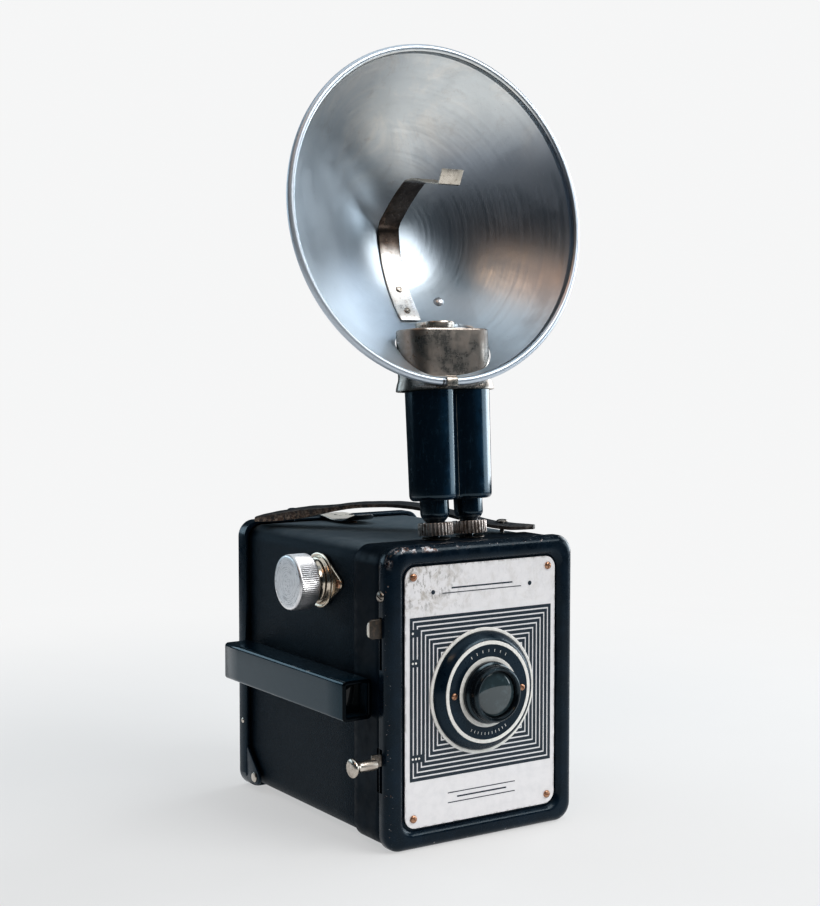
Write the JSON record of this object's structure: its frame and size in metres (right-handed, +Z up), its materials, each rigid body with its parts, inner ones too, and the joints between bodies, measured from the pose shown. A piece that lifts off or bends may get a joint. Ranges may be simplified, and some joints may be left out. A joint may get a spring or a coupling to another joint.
{
  "type": "box film camera with flash gun",
  "caption": "Black metal box roll-film camera with a patterned face plate, side tunnel finder, winding knob, leather strap and a plug-in flash gun with a round dished reflector.",
  "frame": {"origin": "middle of the flat under-edge of the front cover, on the standing plane", "axes": "+X to the right seen from the front, +Y from the lens towards the back cover, +Z up through the flash gun"},
  "size_m": [0.1254, 0.1227, 0.2892],
  "materials": {
    "black_enamel": "semi-gloss, chipped at the front edge",
    "wrinkle_enamel": "fine pebbled satin",
    "plate_silver": "satin print ground, stained",
    "plate_ink": "satin ink",
    "copper": "worn copper plating",
    "white_paint": "satin",
    "lens_glass": "clear, slightly hazy",
    "aluminium": "scuffed, straight knurl",
    "nickel": "tarnished nickel plate",
    "spun_aluminium": "satin spun, stained",
    "leather": "worn black, raw tan edges",
    "bakelite": "polished black moulding",
    "steel": "plain",
    "inner_black": "matt",
    "red_glass": "clear red",
    "wood": "plain",
    "brass": "dull",
    "cell_wrap": "paper wrap"
  },
  "bodies": {
    "camera": {"front_cover": "black_enamel", "face_plate": "plate_silver", "face_print": "plate_ink", "plate_screw_tl": "copper", "plate_screw_tr": "copper", "plate_screw_bl": "copper", "plate_screw_br": "copper", "lens_ring": "white_paint", "lens_bezel": "black_enamel", "lens_disc": "white_paint", "bezel_screw_l": "copper", "bezel_screw_r": "copper", "lens_barrel": "bakelite", "lens_glass": "lens_glass", "shutter_board": "inner_black", "release_spring": "steel", "side_screw": "nickel", "front_frame": "black_enamel", "body_shell": "wrinkle_enamel", "film_carrier": "inner_black", "escutcheon": "nickel", "escutcheon_screw_front": "brass", "escutcheon_screw_rear": "brass", "viewfinder_tube": "bakelite", "finder_front_lens": "lens_glass", "finder_eye_lens": "lens_glass", "hinge_rod": "nickel", "carry_strap": "leather", "strap_stud_rear": "nickel", "strap_stud_front": "nickel", "flash_socket_l": "brass", "flash_socket_r": "brass"},
    "release": {"release_lever": "nickel"},
    "shutter": {"shutter_disc": "steel"},
    "time": {"time_slide": "nickel"},
    "take_up": {"take_up_spool": "steel"},
    "supply": {"supply_spool": "wood"},
    "roller_top": {"film_roller_top": "steel"},
    "roller_bottom": {"film_roller_bottom": "steel"},
    "clip": {"shaft_clip": "steel"},
    "knob": {"winding_knob": "aluminium"},
    "door": {"back_cover": "black_enamel", "red_window": "red_glass"},
    "latch": {"latch_leaf": "black_enamel"},
    "flash": {"contact_pin_l": "bakelite", "contact_pin_r": "bakelite", "case_half_l": "bakelite", "case_half_r": "bakelite", "cell_l": "cell_wrap", "cell_r": "cell_wrap", "socket_housing": "nickel", "bulb_socket": "nickel", "reflector_bowl": "spun_aluminium", "bulb_arm": "nickel", "arm_rivet_upper": "nickel", "arm_rivet_lower": "nickel", "bowl_rivet": "spun_aluminium", "rim_clip": "nickel"},
    "nut_l": {"knurled_nut_l": "nickel"},
    "nut_r": {"knurled_nut_r": "nickel"}
  },
  "joints": [
    {"name": "release_press", "type": "hinge", "parent": "camera", "child": "release", "pos_m": [-0.012, 0.0002, 0.0346], "axis": [0, -1, 0], "range_deg": [0, 12], "stiffness_Nm_per_rad": 0.02, "springref_deg": -14.32},
    {"name": "shutter_turn", "type": "hinge", "parent": "camera", "child": "shutter", "pos_m": [0, 0.0063, 0.0381], "axis": [0, -1, 0], "range_deg": [0, 60]},
    {"name": "time_set", "type": "slide", "parent": "camera", "child": "time", "axis": [0, 0, -1], "range_m": [0, 0.0105]},
    {"name": "knob_pull", "type": "slide", "parent": "camera", "child": "clip", "axis": [-1, 0, 0], "range_m": [0, 0.0029]},
    {"name": "knob_turn", "type": "hinge", "parent": "clip", "child": "knob", "pos_m": [-0.0355, 0.0441, 0.092], "axis": [-1, 0, 0], "continuous": true},
    {"name": "take_up_turn", "type": "hinge", "parent": "camera", "child": "take_up", "pos_m": [0, 0.0441, 0.092], "axis": [-1, 0, 0], "continuous": true},
    {"name": "supply_turn", "type": "hinge", "parent": "camera", "child": "supply", "pos_m": [0, 0.0441, 0.017], "axis": [-1, 0, 0], "continuous": true},
    {"name": "roller_top_turn", "type": "hinge", "parent": "camera", "child": "roller_top", "pos_m": [0, 0.1014, 0.1029], "axis": [-1, 0, 0], "continuous": true},
    {"name": "roller_bottom_turn", "type": "hinge", "parent": "camera", "child": "roller_bottom", "pos_m": [0, 0.1014, 0.0057], "axis": [-1, 0, 0], "continuous": true},
    {"name": "back_open", "type": "hinge", "parent": "camera", "child": "door", "pos_m": [0, 0.095, 0.006], "axis": [-1, 0, 0], "range_deg": [0, 95]},
    {"name": "latch_lift", "type": "hinge", "parent": "door", "child": "latch", "pos_m": [0, 0.1056, 0.1094], "axis": [-1, 0, 0], "range_deg": [0, 10], "stiffness_Nm_per_rad": 0.05, "springref_deg": -2.86},
    {"name": "flash_lift", "type": "slide", "parent": "camera", "child": "flash", "axis": [0, 0.0958, 0.9954], "range_m": [0, 0.03]},
    {"name": "nut_l_turn", "type": "hinge", "parent": "flash", "child": "nut_l", "pos_m": [-0.0076, 0.0157, 0.1088], "axis": [0, 0.0958, 0.9954], "continuous": true},
    {"name": "nut_r_turn", "type": "hinge", "parent": "flash", "child": "nut_r", "pos_m": [0.0076, 0.0157, 0.1088], "axis": [0, 0.0958, 0.9954], "continuous": true}
  ],
  "couplings": [
    {"joint": "take_up_turn", "follows": "knob_turn", "ratio": 1},
    {"joint": "shutter_turn", "follows": "release_press", "ratio": 5}
  ]
}
